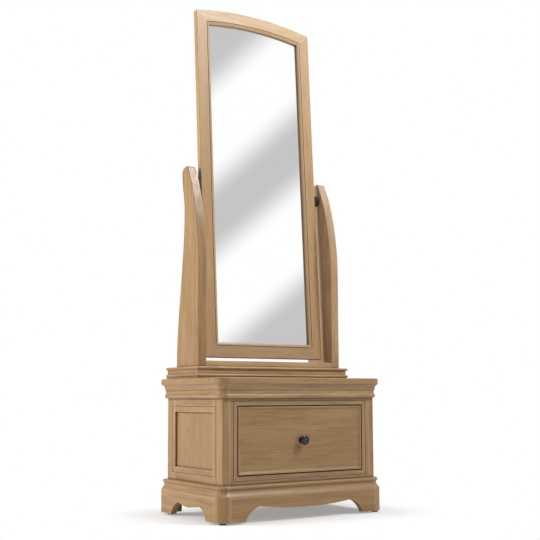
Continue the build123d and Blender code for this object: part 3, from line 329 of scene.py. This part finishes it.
# Cornice and top board.
# A cove, a bead and a torus run under the top, with turned quarter-round corners, and a glued-up top
# board with softened edges.
# The front's tone is painted sheen: it lightens and greys the front beyond the sides.
finish("cornice_front", oak("oak_cornice_front", "X", (0.5, 0.3, 0.9), figure=0.12, tone=(1.16, 1.20, 1.34)))
finish("cornice_left", oak("oak_cornice_left", "Y", (0.2, 0.1, 0.5), figure=0.12))
finish("cornice_right", oak("oak_cornice_right", "Y", (0.7, 0.6, 0.1), figure=0.12))
finish("cornice_corners", oak("oak_cornice_corners", "Z", (0.9, 0.5, 0.3), figure=0.12))
finish("top_board", oak("oak_top_board", "X", (0.4, 0.9, 0.2), figure=0.5))

# Stage.
# A low moulded stage under the posts, mitred at its front corners, with a back rail and a thin deck.
# The front's tone is painted sheen: it lightens and greys the front beyond the sides.
finish("stage_front", oak("oak_stage_front", "X", (0.8, 0.7, 0.5), figure=0.15, tone=(1.30, 1.36, 1.48)))
finish("stage_left", oak("oak_stage_left", "Y", (0.3, 0.4, 0.7), figure=0.15))
finish("stage_right", oak("oak_stage_right", "Y", (0.6, 0.8, 0.9), figure=0.15))
finish("stage_back_rail", oak("oak_stage_back_rail", "X", (0.1, 0.3, 0.6), figure=0.15))
finish("stage_deck", oak("oak_stage_deck", "X", (0.5, 0.7, 0.2), figure=0.3))

# Posts and cross rail.
# Two shaped posts, sawn from glued-up oak with upright grain, and a square rail between their feet.
finish("post_left", oak("oak_post_left", "Z", (0.29, 0.15, 0.1), figure=0.30))
# The right post's and the cross rail's tones are painted sheen: they lighten and grey the wood towards
# white.
finish("post_right", oak("oak_post_right", "Z", (-0.22, 0.33, 0.4), figure=0.30, tone=(1.22, 1.30, 1.52)))
finish("cross_rail", oak("oak_cross_rail", "X", (0.3, 0.8, 0.5), figure=0.15, tone=(1.50, 1.60, 1.85)))

# Pivots and bolts.
# Dark cast pivot blocks screwed to the mirror's edges, steel pins, brass bushes in the posts, nylon
# friction washers, and the steel bolts that come up through the top.

def metal(name, low, high, roughness, scale):
    """Metal whose tone and gloss vary a little over the surface."""
    material, tree, shader = new_material(name)
    colour, cloud = mottled(tree, low, high, scale, 4.0, 0.3, 0.7)
    gloss = ranged(tree, cloud, 0.0, 1.0, roughness - 0.06, roughness + 0.08)
    plugged(tree, shader, {"Base Color": colour, "Roughness": gloss, "Metallic": 1.0})
    return material


finish("pivot_blocks", metal("block_iron", (0.020, 0.021, 0.026), (0.045, 0.047, 0.055), 0.5, 160.0))
finish("pivot_block_screws", metal("screw_steel", (0.40, 0.40, 0.41), (0.56, 0.56, 0.57), 0.35, 300.0))
finish("pivot_pins", metal("pin_steel", (0.42, 0.42, 0.43), (0.60, 0.60, 0.61), 0.28, 300.0))
finish("pivot_bushes", metal("bush_brass", (0.56, 0.40, 0.17), (0.70, 0.52, 0.25), 0.35, 220.0))
finish("post_bolts", metal("bolt_steel", (0.40, 0.40, 0.41), (0.55, 0.55, 0.56), 0.38, 260.0))
finish("friction_washers", black_plastic("washer_nylon"))

# Mirror frame.
# Two stiles, a level bottom rail and a top rail bent to a shallow arch, all with one moulded section
# and mitred at the corners. Their grain is finer than the chest's. Their tones are painted sheen, lightening
# the frame towards white, most of all on the top rail. Their wide reach spreads painted shade across the
# inner faces beside the glass.
for node, grain, shift, tone in (
        ("mirror_stile_left", "Z", (0.24, 0.05, 0.3), (1.24, 1.27, 1.34)),
        ("mirror_stile_right", "Z", (-0.31, 0.25, 0.6), (1.18, 1.22, 1.30)),
        ("mirror_top_rail", "X", (0.6, 0.1, 0.4), (1.36, 1.43, 1.56)),
        ("mirror_bottom_rail", "X", (0.2, 0.7, 0.8), (1.14, 1.22, 1.55))):
    finish(node, oak("oak_" + node, grain, shift, figure=0.12, streaks=0.38, tone=tone, reach=0.024))

# Mirror glass, backing board and clips.
# Float glass silvered on its back, held against the rebate by a thin board and bent steel clips.
silver, silver_tree, silver_shader = new_material("silvered_glass")
silver_tone = mottled(silver_tree, (0.955, 0.962, 0.962), (0.975, 0.980, 0.980), 3.0, 2.0)[0]
plugged(silver_tree, silver_shader, {"Base Color": silver_tone, "Metallic": 1.0, "Roughness": 0.02})
finish("mirror_glass", silver)
finish("backing_board", oak("oak_backing_board", "Z", (0.4, 0.4, 0.1), figure=0.5, tone=(0.80, 0.74, 0.66)))
finish("backing_clips", metal("clip_steel", (0.44, 0.44, 0.45), (0.60, 0.60, 0.61), 0.32, 240.0))

# Drawer.
# A solid front with a sunk field inside a bevel, dovetailed sides and back, and a thin bottom held in
# grooves.
finish("drawer_front", oak("oak_drawer_front", "X", (0.15, 0.17, 0.25), figure=0.55, streaks=0.8))
finish("drawer_sides", oak("oak_drawer_sides", "Y", (0.5, 0.2, 0.3), figure=0.3))
finish("drawer_back", oak("oak_drawer_back", "X", (0.3, 0.6, 0.7), figure=0.3))
finish("drawer_bottom", oak("oak_drawer_bottom", "X", (0.8, 0.5, 0.1), figure=0.4, tone=(0.90, 0.87, 0.82)))

# Knob.
# Turned metal with a dark pewter patina, a ring cut in its face, and a steel screw from inside.
finish("knob", metal("knob_pewter", (0.035, 0.031, 0.028), (0.085, 0.078, 0.070), 0.34, 180.0))
finish("knob_screw", metal("knob_screw_steel", (0.40, 0.40, 0.41), (0.55, 0.55, 0.56), 0.35, 300.0))

# Studio floor.
# A wide white sweep that the object stands on. It runs out into plain white away from the object and
# keeps the object's shadow.
floor_half = 30.0
shadow_half = (0.30, 0.17, 0.0)
fade_start = 0.02
fade_end = 0.24


def ray_mask(tree, *kinds):
    """One for the named kinds of ray, and nought for all others."""
    paths = placed(tree, "ShaderNodeLightPath").outputs
    mask = paths[kinds[0]]
    for kind in kinds[1:]:
        mask = calculated(tree, "MAXIMUM", mask, paths[kind])
    return mask


floor_mesh = bpy.data.meshes.new("floor")
floor_corners = [(x * floor_half, y * floor_half, 0) for x, y in ((-1, -1), (1, -1), (1, 1), (-1, 1))]
floor_mesh.from_pydata(floor_corners, [], [(0, 1, 2, 3)])
floor = bpy.data.objects.new("floor", floor_mesh)
bpy.context.scene.collection.objects.link(floor)
floor_paint, paint, floor_shader = new_material("floor_paint")
plugged(paint, floor_shader, {
    "Base Color": (0.80, 0.80, 0.80, 1.0), "Roughness": 0.9, "Specular IOR Level": 0.0})
floor_lift = placed(paint, "ShaderNodeEmission", {"Strength": 0.30})
floor_white = placed(paint, "ShaderNodeEmission", {"Strength": 1.0})
floor_lit = placed(paint, "ShaderNodeAddShader", {0: floor_shader.outputs[0], 1: floor_lift.outputs[0]})
floor_place = placed(paint, "ShaderNodeTexCoord")
from_middle = placed(paint, "ShaderNodeVectorMath", {
    0: floor_place.outputs["Object"]}, operation="ABSOLUTE")
beyond = placed(paint, "ShaderNodeVectorMath", {
    0: from_middle.outputs[0], 1: shadow_half}, operation="SUBTRACT")
outside = placed(paint, "ShaderNodeVectorMath", {0: beyond.outputs[0]}, operation="MAXIMUM")
distance = placed(paint, "ShaderNodeVectorMath", {0: outside.outputs[0]}, operation="LENGTH")
floor_fade = placed(paint, "ShaderNodeMapRange", {
    "Value": distance.outputs["Value"], "From Min": fade_start, "From Max": fade_end},
    interpolation_type="SMOOTHSTEP")
floor_seen = placed(paint, "ShaderNodeMixShader", {
    "Fac": floor_fade.outputs["Result"], 1: floor_lit.outputs[0], 2: floor_white.outputs[0]})
floor_choice = placed(paint, "ShaderNodeMixShader", {
    "Fac": ray_mask(paint, "Is Camera Ray", "Is Glossy Ray", "Is Transmission Ray"),
    1: floor_shader.outputs[0], 2: floor_seen.outputs[0]})
paint.links.new(floor_choice.outputs[0], paint.nodes["Material Output"].inputs["Surface"])
floor_mesh.materials.append(floor_paint)

# Studio surroundings.
# A white room. The glass and the lacquer also see soft grey panels in it, which cross it on a slant
# that is reckoned from the camera's own directions, turned over in the leaning glass.
camera_place = Vector((-1.8421, -2.7580, 0.3919))
turn_left = math.radians(-33.62)
look_up = math.radians(5.55)
roll = math.radians(-0.26)
mirror_lean = math.radians(3.3)
level = Vector((math.cos(turn_left), math.sin(turn_left), 0.0))
forward = Vector((
    -math.sin(turn_left) * math.cos(look_up), math.cos(turn_left) * math.cos(look_up), math.sin(look_up)))
upright = level.cross(forward)
right = level * math.cos(roll) + upright * math.sin(roll)
above = upright * math.cos(roll) - level * math.sin(roll)
glass_normal = Vector((0.0, -math.cos(mirror_lean), math.sin(mirror_lean)))
slant = right * 0.648 - above * 0.762
slant = slant - 2 * slant.dot(glass_normal) * glass_normal

bands_start = -0.30
bands_end = 0.10
white = (1.0, 1.0, 1.0, 1.0)
grey_panel = (0.585, 0.575, 0.580, 1.0)
bright_room = (1.03, 1.03, 1.03, 1.0)
band_edges = (
    (-0.225, grey_panel), (-0.189, bright_room), (-0.150, bright_room), (-0.114, grey_panel),
    (-0.093, grey_panel), (-0.057, bright_room), (-0.015, bright_room), (0.021, grey_panel),
    (0.060, grey_panel), (0.090, bright_room))
world = bpy.data.worlds.new("studio")
bpy.context.scene.world = world
world.use_nodes = True
room = world.node_tree
room.nodes.clear()
direction = placed(room, "ShaderNodeTexCoord")
across = placed(room, "ShaderNodeVectorMath", {
    0: direction.outputs["Generated"], 1: slant}, operation="DOT_PRODUCT")
panel_tones = placed(room, "ShaderNodeValToRGB", {
    "Fac": ranged(room, across.outputs["Value"], bands_start, bands_end)})
panel_tones.color_ramp.interpolation = "EASE"
for number, (place, tone) in enumerate(band_edges):
    stops = panel_tones.color_ramp.elements
    stop = stops[number] if number < 2 else stops.new(1.0)
    stop.position = (place - bands_start) / (bands_end - bands_start)
    stop.color = tone
soft_light = placed(room, "ShaderNodeBackground", {"Color": white, "Strength": 0.34})
white_room = placed(room, "ShaderNodeBackground", {"Color": white, "Strength": 1.0})
panels = placed(room, "ShaderNodeBackground", {"Color": panel_tones.outputs["Color"], "Strength": 1.0})
for_gloss = placed(room, "ShaderNodeMixShader", {
    "Fac": ray_mask(room, "Is Glossy Ray"), 1: soft_light.outputs[0], 2: panels.outputs[0]})
for_camera = placed(room, "ShaderNodeMixShader", {
    "Fac": ray_mask(room, "Is Camera Ray", "Is Transmission Ray"),
    1: for_gloss.outputs[0], 2: white_room.outputs[0]})
placed(room, "ShaderNodeOutputWorld", {"Surface": for_camera.outputs[0]})

# Lamps.
# A broad soft one on the left, a little behind the mirror, a small one high on the right in front, and
# a third, higher still, that gives sheen to glossy surfaces and leaves the rest alone.

def lamp(name, place, target, size, power):
    """A square soft lamp, pointed at a target."""
    data = bpy.data.lights.new(name, "AREA")
    data.shape = "SQUARE"
    data.size = size
    data.energy = power
    item = bpy.data.objects.new(name, data)
    item.location = place
    item.rotation_euler = (Vector(target) - Vector(place)).to_track_quat("-Z", "Y").to_euler()
    bpy.context.scene.collection.objects.link(item)
    return item


left_softbox = lamp("left_softbox", (-3.2, 1.5, 1.5), (0, 0, 0.7), 1.8, 100.0)
right_lamp = lamp("right_lamp", (1.3, -1.6, 2.5), (0, 0, 1.4), 0.6, 44.0)
sheen_lamp = lamp("sheen_lamp", (1.25, -1.9, 3.9), (0, 0, 1.2), 0.8, 210.0)
left_softbox.visible_glossy = False
right_lamp.visible_glossy = False
sheen_lamp.visible_diffuse = False

# Camera.
# Stands low at the left front and looks slightly up at the mirror, with the frame shifted a little.
picture_width = 540
focal_length = 961.4
centre_row = 303.3
film_width = 36.0
camera_data = bpy.data.cameras.new("camera")
camera_data.sensor_fit = "HORIZONTAL"
camera_data.sensor_width = film_width
camera_data.lens = focal_length / picture_width * film_width
camera_data.shift_x = 0.0
camera_data.shift_y = (centre_row - picture_width / 2) / picture_width
camera = bpy.data.objects.new("camera", camera_data)
bpy.context.scene.collection.objects.link(camera)
turned = Matrix((right, above, -forward)).transposed()
camera.matrix_world = Matrix.Translation(camera_place) @ turned.to_4x4()
bpy.context.scene.camera = camera
bpy.context.scene.view_settings.view_transform = "Standard"
